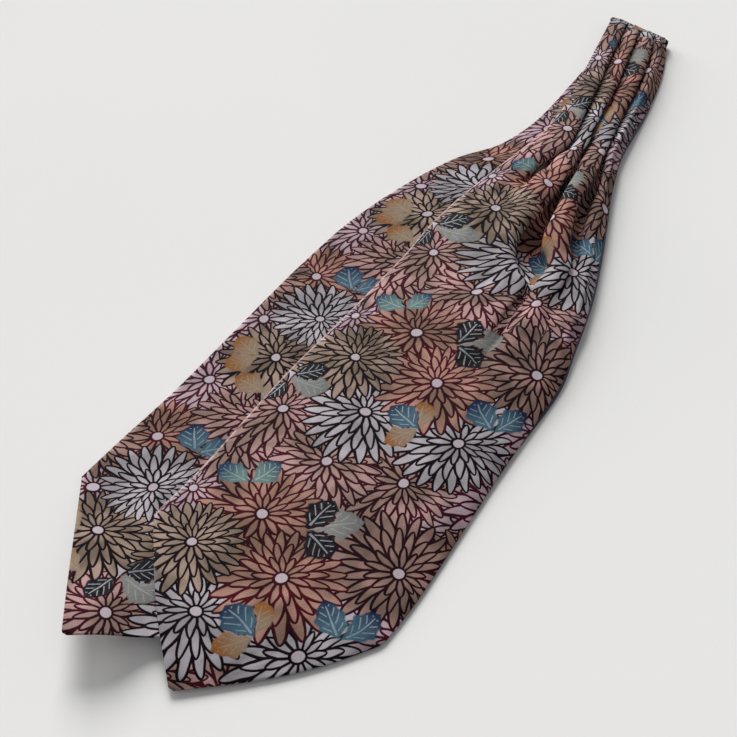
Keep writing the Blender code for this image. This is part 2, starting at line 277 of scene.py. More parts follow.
def back_edges(y):
    """Left and right edge of the lower half."""
    left = tip_edge(y, BACK, "left", BACK_LEFT_CORNER_Y, (BACK_APEX_X - APEX_HALF, BACK_APEX_Y))
    right = tip_edge(y, BACK, "right", BACK_RIGHT_CORNER_Y, (BACK_APEX_X + APEX_HALF, BACK_APEX_Y))
    return left, right


def uncut_edge(y, table, corner_y):
    """Where the left edge would run if the tip had not been cut to a point."""
    if y >= corner_y:
        return table.at(y)["left"]
    return table.at(corner_y)["left"] + EDGE_SLOPE * (y - corner_y)


# How much nearer its dip, and how much higher, the middle knot of a steep flank lies, as shares of it
HEEL_BACK = 0.4
HEEL_UP = 0.35

# A step is soft up to the first height, and a knife fold once it is higher by the second
SHARP_STEP = (1, 2)

# How far a soft step has fallen at its brow and at its end, as shares of its height
SOFT_DROPS = (0.3, 0.7)

# A knife fold's greatest radius as a share of its height, how far its brow has fallen and how far its lip
# turns in and has fallen, in radiuses, the least undercut, and how the undercut grows with the lap
FOLD_SHARE = 0.42
BROW_DROP = 0.15
LIP_IN = 0.9
LIP_DROP = 1.9
LEAST_UNDERCUT = 0.2
LAP_UNDERCUT = (0.6, 6)

# The flat of a crest as a share of the stretch before its fold, and its least width
FLAT_SHARE = 0.3
FLAT_LEAST = 1.5

# The knot at the foot under a fold: how far in, and how high over the dip for a soft and for a sharp step
FOOT_IN = 0.3
FOOT_UP = (0.7, 0.5)

# The rise at the left rim, where the last crest starts, the rise at the right rim, as shares, and how
# narrow everything gets at the very tip
FIRST_RISE = 0.5
LAST_CREST = 0.55
LAST_RISE = 0.45
TIP_SCALE = 0.02


def heel(start, low, top, crest, steep):
    """The knot that makes the flank between a dip and a crest gentle or steep."""
    across = 0.5 - HEEL_BACK * steep
    up = 0.5 + HEEL_UP * steep
    return start + across * (top - start), low + up * (crest - low)


def section(y):
    """The knots (x, z) of the upper half's outer face at the station y, from left to right."""
    row = FRONT.at(y)
    left, right = edges(y)
    width = right - left
    scale = float(np.clip((y - APEX_Y) / (RIGHT_CORNER_Y - APEX_Y), TIP_SCALE, 1))
    knots = [(left, row["rim_l"])]
    knots.append((left + SHOULDER * scale, row["rim_l"] + FIRST_RISE * (row["crest_a"] - row["rim_l"])))
    start = left
    low = row["rim_l"]
    steep = FLANKS.at(y)
    for name in "abc":
        fold = left + width * row["fold_" + name]
        crest = row["crest_" + name]
        dip = row["dip_" + name]
        sharp = float(np.clip((crest - dip - SHARP_STEP[0]) / SHARP_STEP[1], 0, 1))
        soft = 1 - sharp
        radius = min(row["round"], FOLD_SHARE * max(crest - dip, 0.0))
        undercut = LAP_UNDERCUT[0] + row["lap_" + name] / LAP_UNDERCUT[1]
        undercut = max(undercut, steep["c"] if name == "b" else LEAST_UNDERCUT)
        overhang = radius * float(np.clip(undercut, LEAST_UNDERCUT, 1))
        brow = fold - (SOFT_BROW * soft + radius * sharp) * scale
        top = min(fold - max(2 * radius, FLAT_SHARE * (fold - start)), brow - FLAT_LEAST * scale)
        if name != "a":
            top -= FLAT_SHARE * steep[name] * (top - start)
            knots.append(heel(start, low, top, crest, steep[name]))
        knots.append((top, crest))
        soft_brow = crest + SOFT_DROPS[0] * (dip - crest)
        knots.append((brow, soft_brow * soft + (crest - BROW_DROP * radius) * sharp))
        knots.append((fold, (crest + dip) / 2 * soft + (crest - radius) * sharp))
        under = fold + (SOFT_BROW * soft - LIP_IN * overhang * sharp) * scale
        soft_end = crest + SOFT_DROPS[1] * (dip - crest)
        wall_end = soft_end * soft + (crest - LIP_DROP * radius) * sharp
        knots.append((under, wall_end))
        start = fold - row["lap_" + name] * scale
        low = dip
        foot_up = FOOT_UP[0] - FOOT_UP[1] * sharp
        knots.append((under + FOOT_IN * (start - under), dip + foot_up * (wall_end - dip)))
        knots.append((start, dip))
    top = start + LAST_CREST * (right - start)
    knots.append(heel(start, low, top, row["crest_d"], steep["d"]))
    knots.append((top, row["crest_d"]))
    rim_rise = LAST_RISE * (row["crest_d"] - row["rim_r"])
    knots.append((right - RIGHT_SHOULDER * scale, row["rim_r"] + rim_rise))
    knots.append((right, row["rim_r"]))
    return np.array(knots)


def along(knots, cuts):
    """A smooth curve through the knots, with this many cuts between each two."""
    step = np.sqrt(np.maximum(np.linalg.norm(np.diff(knots, axis=0), axis=1), 1e-6))[:, None]
    rise = np.diff(knots, axis=0) / step
    inner = (rise[:-1] * step[1:] + rise[1:] * step[:-1]) / (step[1:] + step[:-1])
    slope = np.vstack([rise[:1], inner, rise[-1:]])
    points = []
    for knot, count in enumerate(cuts):
        part = (np.arange(count) / count)[:, None]
        ease = part * part * (3 - 2 * part)
        points.append(
            knots[knot] * (1 - ease)
            + knots[knot + 1] * ease
            + slope[knot] * step[knot] * part * (1 - part) ** 2
            - slope[knot + 1] * step[knot] * part * part * (1 - part)
        )
    points.append(knots[-1:])
    return np.vstack(points)


# Cuts between the knots of a section, and which knots start the stretches under the three folds and
# those of the pocket beside the third crest
CUTS = [4, 14, 6, 4, 4, 4, 4, 5, 8, 6, 4, 4, 4, 4, 5, 8, 6, 4, 4, 4, 4, 5, 8, 12, 5]
UNDERS = (5, 12, 19)
POCKET = (12, 13, 14)


def smooth(low, high, value):
    """An even rise from 0 to 1 between low and high."""
    part = np.clip((value - low) / (high - low), 0, 1)
    return part * part * (3 - 2 * part)


# The band's end runs aslant: how far its left side moves across and along, where the slant starts, and
# the right side that stays and how far from it the left side lies
SKEW = (-2.5, 11.0)
SKEW_START_Y = 290.0
SKEW_RIGHT = 52.0
SKEW_WIDTH = 68.0


def aslant(x, y):
    """The place x, y moved so that the band's end runs aslant."""
    share = smooth(SKEW_START_Y, BAND_END_Y, y) * np.clip((SKEW_RIGHT - x) / SKEW_WIDTH, 0, 1)
    return x + SKEW[0] * share, y + SKEW[1] * share


# Creases of the upper half: points along the ridge or trough, its height and its half width
CREASES = [
    ([(2, 262), (-8, 222), (-18, 190), (-22, 160)], 0.8, 2.6),
    ([(4, 250), (-2, 215), (-10, 175), (-14, 140)], 0.9, 3.0),
    ([(12, 212), (6, 188), (0, 160), (-4, 130)], 0.8, 3.4),
    ([(28, 236), (24, 205), (22, 175), (20, 150)], 0.8, 3.2),
    ([(32, 150), (24, 128), (10, 104), (-4, 84)], -0.8, 4.5),
    ([(34, 136), (32, 116), (26, 92), (16, 66)], -0.9, 4.5),
    ([(47, 120), (44, 100), (38, 80), (34, 50)], -0.9, 4.0),
    ([(59, 121), (61.5, 104), (61.5, 88), (60, 74), (58, 60), (56, 42)], -1.5, 2.6),
    ([(67, 120), (69, 102), (69, 86), (67, 64), (64, 40)], 0.9, 4.5),
    ([(68, 140), (74, 116), (78, 92), (80, 60)], -0.9, 4.5),
    ([(44, 214), (46, 190), (52, 168), (60, 146)], 0.7, 2.4),
    ([(-30, 60), (-20, 20), (-14, -30), (-12, -80)], 0.8, 10.0),
    ([(20, 40), (24, -10), (20, -60), (10, -110)], -0.9, 12.0),
    ([(72, 50), (70, 0), (64, -60), (60, -110)], 0.9, 12.0),
    ([(-36, -60), (-20, -100), (0, -140), (20, -180)], 0.6, 9.0),
    ([(40, -90), (44, -130), (40, -170), (30, -200)], 0.7, 11.0),
]

# A crease fades between its middle and these shares of its length, by this power
CREASE_ENDS = (0.03, 0.97)
CREASE_FADE = 0.8


def crease_height(x, y, creases):
    """The height that the creases add at these places."""
    height = np.zeros_like(x)
    for points, tall, half in creases:
        line = np.array(points, float)
        lengths = np.linalg.norm(np.diff(line, axis=0), axis=1)
        before = np.concatenate([[0], np.cumsum(lengths)])
        best = np.full(x.shape, 1e9)
        part = np.zeros_like(x)
        for (start, end), length, done in zip(zip(line, line[1:]), lengths, before):
            way = (end - start) / length
            run = np.clip((x - start[0]) * way[0] + (y - start[1]) * way[1], 0, length)
            away = np.hypot(x - start[0] - run * way[0], y - start[1] - run * way[1])
            closer = away < best
            best = np.where(closer, away, best)
            part = np.where(closer, (done + run) / before[-1], part)
        fade = np.sin(np.pi * np.clip(part, *CREASE_ENDS)) ** CREASE_FADE
        height += tall * np.exp(-((best / half) ** 2)) * fade
    return height


def sheet_mesh(points, flat):
    """A working grid with corners points[row][column] and their places in the flat cloth."""
    rows = len(points) - 1
    columns = len(points[0]) - 1
    work = bmesh.new()
    bmesh.ops.create_grid(work, x_segments=columns, y_segments=rows, size=1.0)
    layer = work.loops.layers.uv.new("cloth")
    places = {}
    for vert in work.verts:
        column = round((vert.co.x + 1) / 2 * columns)
        row = round((vert.co.y + 1) / 2 * rows)
        places[vert] = Vector(flat[row][column]) * MM
        x, y, z = points[row][column]
        x, y = aslant(x, y)
        vert.co = Vector((x - X_MIDDLE, y - Y_MIDDLE, z)) * MM
    for face in work.faces:
        for loop in face.loops:
            loop[layer].uv = places[loop.vert]
    return work


def finished(name, work, finish):
    """Turns the working mesh into a smooth-shaded object."""
    mesh = bpy.data.meshes.new(name)
    work.to_mesh(mesh)
    work.free()
    mesh.materials.append(finish)
    mesh.shade_smooth()
    thing = bpy.data.objects.new(name, mesh)
    bpy.context.scene.collection.objects.link(thing)
    return thing


def wall(name, points, flat, finish, thickness):
    """A cloth wall whose outer face runs through the points and which is thick inwards."""
    thing = finished(name, sheet_mesh(points, flat), finish)
    solid = thing.modifiers.new("Thickness", "SOLIDIFY")
    solid.thickness = thickness * MM
    solid.offset = -1.0
    return thing


class Wire:
    """One output of a finish's nodes. Arithmetic on it adds Math nodes."""

    def __init__(self, finish, socket):
        self.finish = finish
        self.socket = socket

    def math(self, operation, *values, clamp=False):
        """Adds a Math node on these values."""
        settings = {"operation": operation, "use_clamp": clamp}
        return self.finish.node("ShaderNodeMath", settings, dict(enumerate(values)))

    def ramp(self, gain, lift, clamp=True):
        """This number times gain plus lift, kept between 0 and 1 unless clamp is off."""
        return self.math("MULTIPLY_ADD", self, gain, lift, clamp=clamp)

    def __add__(self, other):
        return self.math("ADD", self, other)

    def __radd__(self, other):
        return self.math("ADD", other, self)

    def __sub__(self, other):
        return self.math("SUBTRACT", self, other)

    def __rsub__(self, other):
        return self.math("SUBTRACT", other, self)

    def __mul__(self, other):
        return self.math("MULTIPLY", self, other)

    def __rmul__(self, other):
        return self.math("MULTIPLY", other, self)

    def __truediv__(self, other):
        return self.math("DIVIDE", self, other)

    def __gt__(self, other):
        return self.math("GREATER_THAN", self, other)

    def __lt__(self, other):
        return self.math("LESS_THAN", self, other)

    def __abs__(self):
        return self.math("ABSOLUTE", self)

    def __pow__(self, power):
        return self.math("POWER", self, power)


class Finish:
    """A procedural material."""

    def __init__(self, name):
        self.material = bpy.data.materials.new(name)
        self.material.use_nodes = True
        self.tree = self.material.node_tree
        self.shader = self.tree.nodes["Principled BSDF"]

    def node(self, kind, settings, sockets, output=0):
        """Adds a node with these settings and values or links of its sockets; gives one of its outputs."""
        made = self.tree.nodes.new(kind)
        for name, value in settings.items():
            if name == "stops":
                for number, (place, colour) in enumerate(value):
                    if number > 1:
                        made.color_ramp.elements.new(place)
                for stop, (place, colour) in zip(made.color_ramp.elements, value):
                    stop.position = place
                    stop.color = (*colour, 1.0)
            elif name == "interpolation":
                made.color_ramp.interpolation = value
            else:
                setattr(made, name, value)
        for name, value in sockets.items():
            if isinstance(value, Wire):
                self.tree.links.new(value.socket, made.inputs[name])
            else:
                made.inputs[name].default_value = value
        return Wire(self, made.outputs[output])

    def vector(self, operation, *values):
        """Vector Math; a length or a dot product gives a number."""
        output = 1 if operation in ("LENGTH", "DOT_PRODUCT") else 0
        settings = {"operation": operation}
        return self.node("ShaderNodeVectorMath", settings, dict(enumerate(values)), output)

    def noise(self, flat, scale, detail=2.0, output=0):
        """Noise over the flat cloth."""
        sockets = {"Vector": flat, "Scale": scale, "Detail": detail}
        return self.node("ShaderNodeTexNoise", {"noise_dimensions": "2D"}, sockets, output)

    def flat_cloth(self):
        """The place in the flat cloth, in millimetres."""
        place = self.node("ShaderNodeUVMap", {"uv_map": "cloth"}, {})
        return self.vector("MULTIPLY", place, (1 / MM, 1 / MM, 0.0))

    def mix(self, kind, factor, first, second):
        """Mixes two numbers, vectors or colours."""
        slots = {"FLOAT": (2, 3, 0), "VECTOR": (4, 5, 1), "RGBA": (6, 7, 2)}[kind]
        sockets = {0: factor, slots[0]: first, slots[1]: second}
        return self.node("ShaderNodeMix", {"data_type": kind}, sockets, slots[2])

    def set(self, **values):
        """Sets or links the shader's own sockets."""
        for name, value in values.items():
            socket = self.shader.inputs[name.replace("_", " ").title().replace("Ior", "IOR")]
            if isinstance(value, Wire):
                self.tree.links.new(value.socket, socket)
            else:
                socket.default_value = value


def colour(red, green, blue):
    """A colour given from 0 to 255 as the eye sees it, as the linear values that a shader takes."""
    linear = []
    for part in (red, green, blue):
        linear.append(((part / 255 + 0.055) / 1.055) ** 2.4 if part > 10 else part / 3295)
    return tuple(linear)


# The print, in millimetres of flat cloth: its repeat, how finely and how far its lines wander as if
# drawn by hand, and the cloudy patches of darker ink
REPEAT = (210.0, 161.0)
WANDER_SCALE = 0.05
WANDER = 3.6
PATCH_SCALE = 0.045
PATCH_GAIN = 3.2
PATCH_LIFT = -1.0
GROUND = (186, 178, 186)

# Inks of the flowers: petals, petals in their darker parts, lines, lines in their darker parts
INKS = {
    "white": ((198, 191, 197), (154, 148, 153), (15, 6, 14), (8, 4, 9)),
    "tan": ((176, 153, 138), (118, 101, 88), (24, 8, 15), (12, 5, 9)),
    "orange": ((188, 144, 130), (134, 104, 90), (80, 12, 26), (44, 8, 15)),
    "pink": ((198, 160, 157), (142, 117, 107), (72, 14, 28), (36, 7, 15)),
    "lilac": ((200, 177, 186), (159, 138, 143), (78, 15, 36), (40, 8, 22)),
    "brown": ((172, 138, 129), (119, 97, 88), (48, 10, 20), (22, 6, 11)),
}

# Flowers: place across and along, radius, the way its longest petals point in degrees, ink
FLOWERS = [
    (160, 86, 34, -60, "lilac"),
    (95, 132, 34, -120, "pink"),
    (178, 40, 33, -80, "brown"),
    (154, 4, 32, -80, "lilac"),
    (6, 108, 28, -100, "lilac"),
    (6, 152, 31, -100, "pink"),
    (163, 27, 32, 200, "lilac"),
    (165, 136, 33, -90, "orange"),
    (107, 7, 34, 180, "pink"),
    (200, 14, 34, -60, "pink"),
    (16, 21, 32, -90, "pink"),
    (134, 117, 36, 190, "brown"),
    (185, 63, 33, -90, "tan"),
    (189, 104, 28, 150, "white"),
    (60, 0, 32, -80, "pink"),
    (119, 48, 35, 200, "white"),
    (50, 112, 36, -90, "orange"),
    (60, 42, 34, -90, "white"),
    (84, 82, 35, -70, "orange"),
    (29, 77, 31, -90, "tan"),
]

# The radius that flowers are drawn at, how much longer their petals are on one side, the heart and the
# rings round it, the width of the lines, how sharply ink ends, how blunt petals are, and how far each
# flower is turned from the one before
RADIUS = 34.0
LEAN = 0.15
HEART = 3.1
HEART_INK = (196, 182, 190)
HEART_INK_EDGE = 0.4
HEART_RING = 1.2
LINE = 1.4
INK_EDGE = 2.5
BLUNT = 0.5
TURN_STEP = 0.37

# Petals in each ring of a flower from the outside in, how far they reach and how long they taper
RINGS = [(24, 34.5, 12.5), (19, 25.0, 11.0), (13, 15.0, 7.5)]

# How far outside its shoulder a petal's width is measured, and a place that is far from every heart
PETAL_MORE = 1.0
FAR = 99.0

# Inks of the leaves: near the stalk, at the end, veins
LEAF_INKS = {
    "blue": ((70, 102, 120), (22, 42, 74), (158, 178, 186)),
    "teal": ((106, 134, 132), (34, 66, 94), (168, 186, 184)),
    "black": ((18, 22, 28), (16, 20, 26), (186, 192, 196)),
    "grey": ((136, 138, 134), (118, 120, 118), (162, 166, 164)),
    "ochre": ((150, 130, 110), (146, 94, 46), (168, 148, 124)),
}

# Leaves: stalk's place across and along, the way they face, how far a pair is spread, length, half
# width, ink
LEAVES = [
    (95, 45, 232, 0, 23, 8.5, "ochre"),
    (95, 45, 118, 0, 22, 9, "ochre"),
    (96, 45, 164, 0, 28, 9.5, "blue"),
    (132, 65, 106, 37, 27, 9, "blue"),
    (76, 114, 41, 0, 33, 10, "grey"),
    (76, 114, 32, 50, 25, 10, "black"),
    (30, 126, 120, 53, 22, 8.5, "teal"),
    (5, 44, 0, 0, 27, 10, "grey"),
    (5, 46, 45, 0, 22, 8.5, "black"),
    (5, 42, 260, 0, 20, 7.5, "black"),
    (198, 34, 172, 0, 25, 9, "ochre"),
    (192, 136, 90, 42, 24, 9.5, "blue"),
    (176, 58, 200, 35, 23, 9, "ochre"),
]
LEAF_LENGTH = 25.0
LEAF_HALF = 9.0

# A leaf's outline: how its belly sits and how full it is, and its lobes
BELLY_SEAT = 1.25
BELLY_FULL = 0.9
LOBES = 24.0
LOBE_DEPTH = 0.08

# A leaf's veins: the rib's half width and taper and where it starts and ends, then the side veins' slant,
# spacing, half width, and clearance from the rib and from the leaf's edge, and where all veins end
RIB_HALF = 0.75
RIB_TAPER = 0.5
RIB_START = 0.14
RIB_END = 0.84
BARB_SLANT = 1.1
BARB_STEP = 4.8
BARB_HALF = 0.10
BARB_FROM_RIB = 1.4
BARB_FROM_EDGE = 2.4
VEIN_END = 0.86
VEIN_INK = 0.75
PATCH_SHARE = 0.3

# How the ink changes from the stalk to the end of a leaf, and how it covers the flowers
WASH_GAIN = 2.2
WASH_LIFT = -1.1
LEAF_EDGE = 0.8
LEAF_COVER = 0.96


def seen_from(finish, cloth, across, along_cloth):
    """The cloth's coordinates as seen from the nearest such place of the repeat."""
    away = finish.vector("SUBTRACT", cloth, (across, along_cloth, 0.0))
    half = (REPEAT[0] / 2, REPEAT[1] / 2, 1.0)
    return finish.vector("WRAP", away, half, tuple(-side for side in half))


def parts_of(finish, vector):
    """The first two numbers of a vector."""
    return [finish.node("ShaderNodeSeparateXYZ", {}, {0: vector}, number) for number in (0, 1)]


def petal_ring(turn, reach, petals, phase, outer, taper):
    """How far inside a petal a place lies, and how far inside the ring's outline."""
    way = turn.ramp(petals / TAU, phase, clamp=False)
    side = way.math("PINGPONG", way, 0.5) * (TAU / petals) * reach
    shoulder = outer - taper
    rounds = []
    for more in (0.0, LINE / 2):
        past = reach.ramp(1 / (taper + more), -shoulder / (taper + more))
        rounds.append((1.0 - past * past) ** BLUNT * (math.pi / petals * (shoulder + PETAL_MORE) + more))
    wedge = reach * (math.pi / petals)
    return wedge.math("MINIMUM", wedge, rounds[0]) - side, rounds[1] - side


def stepped(finish, number, colours):
    """One of the colours, by a number that counts them."""
    stops = [(place / len(colours), item) for place, item in enumerate(colours)]
    return finish.node(
        "ShaderNodeValToRGB",
        {"stops": stops, "interpolation": "CONSTANT"},
        {0: (number + 0.5) / len(colours)},
    )


def inks_of(finish, number, palettes, row):
    """The ink in this row of the palette that the number counts to."""
    return stepped(finish, number, [colour(*palette[row]) for palette in palettes])


def flower_colour(finish, cloth, patch):
    """The flowers, the later ones in the table on top, in their inks on the ground."""
    bloom = (0.0, 0.0, FAR)
    which = -1.0
    for number, (across, lengthwise, radius, facing, ink) in enumerate(FLOWERS):
        seen = seen_from(finish, cloth, across, lengthwise)
        seen = finish.vector("MULTIPLY", seen, (RADIUS / radius, RADIUS / radius, 0.0))
        facing = math.radians(facing)
        lean = finish.vector("DOT_PRODUCT", seen, (-LEAN * math.cos(facing), -LEAN * math.sin(facing), 0.0))
        reach = finish.vector("LENGTH", seen) + lean
        x, y = parts_of(finish, seen)
        turn = y.math("ARCTAN2", y, x)
        outline = petal_ring(turn, reach, RINGS[0][0], TURN_STEP * number, *RINGS[0][1:])[1]
        inside = outline > 0.0
        here = finish.node("ShaderNodeCombineXYZ", {}, {0: x, 1: y, 2: reach})
        bloom = finish.mix("VECTOR", inside, bloom, here)
        which = finish.mix("FLOAT", inside, which, float(number))

    x, y = parts_of(finish, bloom)
    reach = finish.node("ShaderNodeSeparateXYZ", {}, {0: bloom}, 2)
    turn = y.math("ARCTAN2", y, x)
    fill = None
    for number, (petals, outer, taper) in enumerate(RINGS):
        phase = which * TURN_STEP + 0.5 * number
        body, outline = petal_ring(turn, reach, petals, phase, outer, taper)
        petal = body.ramp(INK_EDGE, 0.5 - INK_EDGE * LINE / 2)
        fill = petal if fill is None else finish.mix("FLOAT", outline > 0.0, fill, petal)
    heart = reach.ramp(-INK_EDGE, INK_EDGE * HEART)
    fill = finish.mix("FLOAT", reach < HEART + HEART_RING, fill, heart)

    palettes = [INKS[row[4]] for row in FLOWERS]
    light, dark, lines, deep = [inks_of(finish, which, palettes, row) for row in range(4)]
    lines = finish.mix("RGBA", patch, lines, deep)
    petals = finish.mix("RGBA", patch, light, dark)
    petals = finish.mix("RGBA", reach < HEART + HEART_INK_EDGE, petals, (*colour(*HEART_INK), 1.0))
    flower = finish.mix("RGBA", fill, lines, petals)
    return finish.mix("RGBA", which > -0.5, (*colour(*GROUND), 1.0), flower)


def leaf_colour(finish, cloth, patch):
    """The leaves' colour, and how much of them covers the flowers."""
    leaf = (0.0, 0.0, 0.0)
    leaf_here = 0.0
    names = list(LEAF_INKS)
    for across, lengthwise, facing, spread, length, half, ink in LEAVES:
        seen = seen_from(finish, cloth, across, lengthwise)
        facing = math.radians(facing)
        forward = finish.vector("DOT_PRODUCT", seen, (math.cos(facing), math.sin(facing), 0.0))
        sideways = finish.vector("DOT_PRODUCT", seen, (-math.sin(facing), math.cos(facing), 0.0))
        if spread:
            swing = math.radians(spread)
            sideways = abs(sideways)
            forward, sideways = (
                forward * math.cos(swing) + sideways * math.sin(swing),
                sideways * math.cos(swing) - forward * math.sin(swing),
            )
        part = forward.math("DIVIDE", forward, length, clamp=True)
        belly = part.math("SINE", part ** BELLY_SEAT * math.pi)
        lobes = part.math("SINE", part * LOBES)
        room = belly ** BELLY_FULL * half * lobes.ramp(LOBE_DEPTH, 1.0, clamp=False)
        margin = room - abs(sideways)
        inside = margin > 0.0
        places = {0: part, 1: sideways * (1 / half), 2: margin * (1 / half)}
        here = finish.node("ShaderNodeCombineXYZ", {}, places)
        leaf = finish.mix("VECTOR", inside, leaf, here)
        leaf_here = finish.mix("FLOAT", inside, leaf_here, 1.0 + names.index(ink))

    part, aside = parts_of(finish, leaf)
    margin = finish.node("ShaderNodeSeparateXYZ", {}, {0: leaf}, 2) * LEAF_HALF
    off = abs(aside) * LEAF_HALF
    rib = (off < RIB_HALF - part * RIB_TAPER) * (part > RIB_START) * (part < RIB_END)
    slant = (part * LEAF_LENGTH - off * BARB_SLANT) / BARB_STEP
    barb = slant.math("PINGPONG", slant, 0.5) < BARB_HALF
    barb = barb * (off > BARB_FROM_RIB) * (margin > BARB_FROM_EDGE)
    vein = rib.math("MAXIMUM", rib, barb) * (part < VEIN_END)
    number = leaf_here - 1.0
    stalk, end, veins = [inks_of(finish, number, LEAF_INKS.values(), row) for row in range(3)]
    wash = part.ramp(WASH_GAIN, WASH_LIFT, clamp=False) + patch * PATCH_SHARE
    green = finish.mix("RGBA", wash.ramp(1.0, 0.0), stalk, end)
    green = finish.mix("RGBA", vein * (VEIN_INK - patch * PATCH_SHARE), green, veins)
    cover = margin.ramp(LEAF_EDGE, 0.0) * LEAF_COVER
    return green, cover * (leaf_here > 0.5)


def print_colour(finish, flat):
    """The colour of the all-over print of flowers and leaves."""
    wander = finish.noise(flat, WANDER_SCALE, 1.0, 1)
    wander = finish.vector("SUBTRACT", wander, (0.5, 0.5, 0.5))
    wander = finish.vector("MULTIPLY", wander, (WANDER, WANDER, 0.0))
    cloth = finish.vector("ADD", flat, wander)
    patch = finish.noise(flat, PATCH_SCALE).ramp(PATCH_GAIN, PATCH_LIFT)
    flowers = flower_colour(finish, cloth, patch)
    leaves, cover = leaf_colour(finish, cloth, patch)
    return finish.mix("RGBA", cover, flowers, leaves)


# The grain: its colour, how much of it shows, how deep its weave is in metres, and its roughness
GRAIN_INK = (0.01, 0.007, 0.01, 1.0)
GRAIN_GAIN = 0.5
GRAIN_LIFT = -0.1
WEAVE_DEEP = 0.0004
ROUGH_GAIN = 0.2
ROUGH_LIFT = 0.6

# Painted highlight along the left rim, a pale line where the folded edge catches the light: its colour, how
# wide and how far along the cloth it runs
RIM_HIGHLIGHT_INK = (206, 178, 178)
RIM_HIGHLIGHT_SCALE = 0.2
RIM_HIGHLIGHT_GAIN = 1.6
RIM_HIGHLIGHT_LIFT = -0.35
RIM_HIGHLIGHT_WIDTH = 1.3
RIM_HIGHLIGHT_END = 530.0

# The plain edge: its two inks and how finely they cloud
PLAIN_INKS = ((92, 94, 104), (112, 114, 126))
PLAIN_SCALE = 0.06

# The table: its two colours, how finely they cloud, and half its side in metres
TABLE_COLOURS = ((0.80, 0.795, 0.785, 1.0), (0.83, 0.825, 0.815, 1.0))
TABLE_SCALE = 3.0
TABLE_HALF = 3.0


def grained(finish, flat, shade, size, depth):
    """Adds the cloth's grain to a colour, and its weave to the surface."""
    grain = finish.noise(flat, 1 / size)
    shade = finish.mix("RGBA", grain.ramp(GRAIN_GAIN, GRAIN_LIFT), shade, GRAIN_INK)
    bump = finish.node("ShaderNodeBump", {}, {"Strength": depth, "Distance": WEAVE_DEEP, "Height": grain})
    rough = grain.ramp(ROUGH_GAIN, ROUGH_LIFT, clamp=False)
    finish.set(base_color=shade, normal=bump, roughness=rough)
    return finish.material


def printed_silk():
    """Matte silk printed all over with chrysanthemums and leaves, with a painted highlight along the left
    rim.
    """
    finish = Finish("printed_silk")
    flat = finish.flat_cloth()
    shade = print_colour(finish, flat)
    across, lengthwise = parts_of(finish, flat)
    # Painted highlight: the print turns pale along the left rim, where the folded edge catches the light.
    rim_highlight = finish.noise(flat, RIM_HIGHLIGHT_SCALE).ramp(RIM_HIGHLIGHT_GAIN, RIM_HIGHLIGHT_LIFT)
    rim_highlight = rim_highlight * (abs(across) < RIM_HIGHLIGHT_WIDTH) * (lengthwise < RIM_HIGHLIGHT_END)
    shade = finish.mix("RGBA", rim_highlight, shade, (*colour(*RIM_HIGHLIGHT_INK), 1.0))
    finish.set(sheen_weight=0.012, sheen_roughness=0.4, specular_ior_level=0.03)
    return grained(finish, flat, shade, size=0.7, depth=0.35)


def plain_edge_finish():
    """The plain blue-grey finish of the strip along the right edge."""
    finish = Finish("plain_edge_finish")
    flat = finish.flat_cloth()
    dark, light = [(*colour(*ink), 1.0) for ink in PLAIN_INKS]
    shade = finish.mix("RGBA", finish.noise(flat, PLAIN_SCALE), dark, light)
    finish.set(sheen_weight=0.02, sheen_roughness=0.4, specular_ior_level=0.06)
    return grained(finish, flat, shade, size=0.6, depth=0.4)


def table_top():
    """The plain pale table."""
    finish = Finish("pale_table")
    place = finish.node("ShaderNodeTexCoord", {}, {}, 3)
    sockets = {"Vector": place, "Scale": TABLE_SCALE, "Detail": 3.0}
    cloudy = finish.node("ShaderNodeTexNoise", {}, sockets)
    shade = finish.mix("RGBA", cloudy, *TABLE_COLOURS)
    finish.set(base_color=shade, roughness=0.9, specular_ior_level=0.05)
    return finish.material


# The seam before the band's end: where, how deep, how wide, how far the print jumps there, and the
# stations round it
SEAM_Y = 402.5
SEAM_DEEP = 0.7
SEAM_HALF = 0.7
SEAM_JUMP = (28.0, 34.0)
SEAM_STEPS = (-2.2, -1.2, -0.6, -0.02, 0.02, 0.6, 1.2, 2.2, 3.6)

# The stretches of the upper half: start, end and stations, which are closest round the pocket
STRETCHES = [
    (APEX_Y, RIGHT_CORNER_Y, 38),
    (RIGHT_CORNER_Y, 50, 56),
    (50, 140, 91),
    (140, 262, 77),
    (262, SEAM_Y + SEAM_STEPS[0], 52),
]

# How far the pocket beside the third crest draws the print in, where and over what reach, how much
# cloth is rolled under at the right of the fan, between which stations that comes and goes, and where
# the blade has its full width
PULL = 14.0
PULL_Y = 126.0
PULL_REACH = 32.0
ROLLED = 13.0
ROLL_COMES = (60, 120)
ROLL_GOES = (200, 262)
FULL_WIDTH_Y = 20


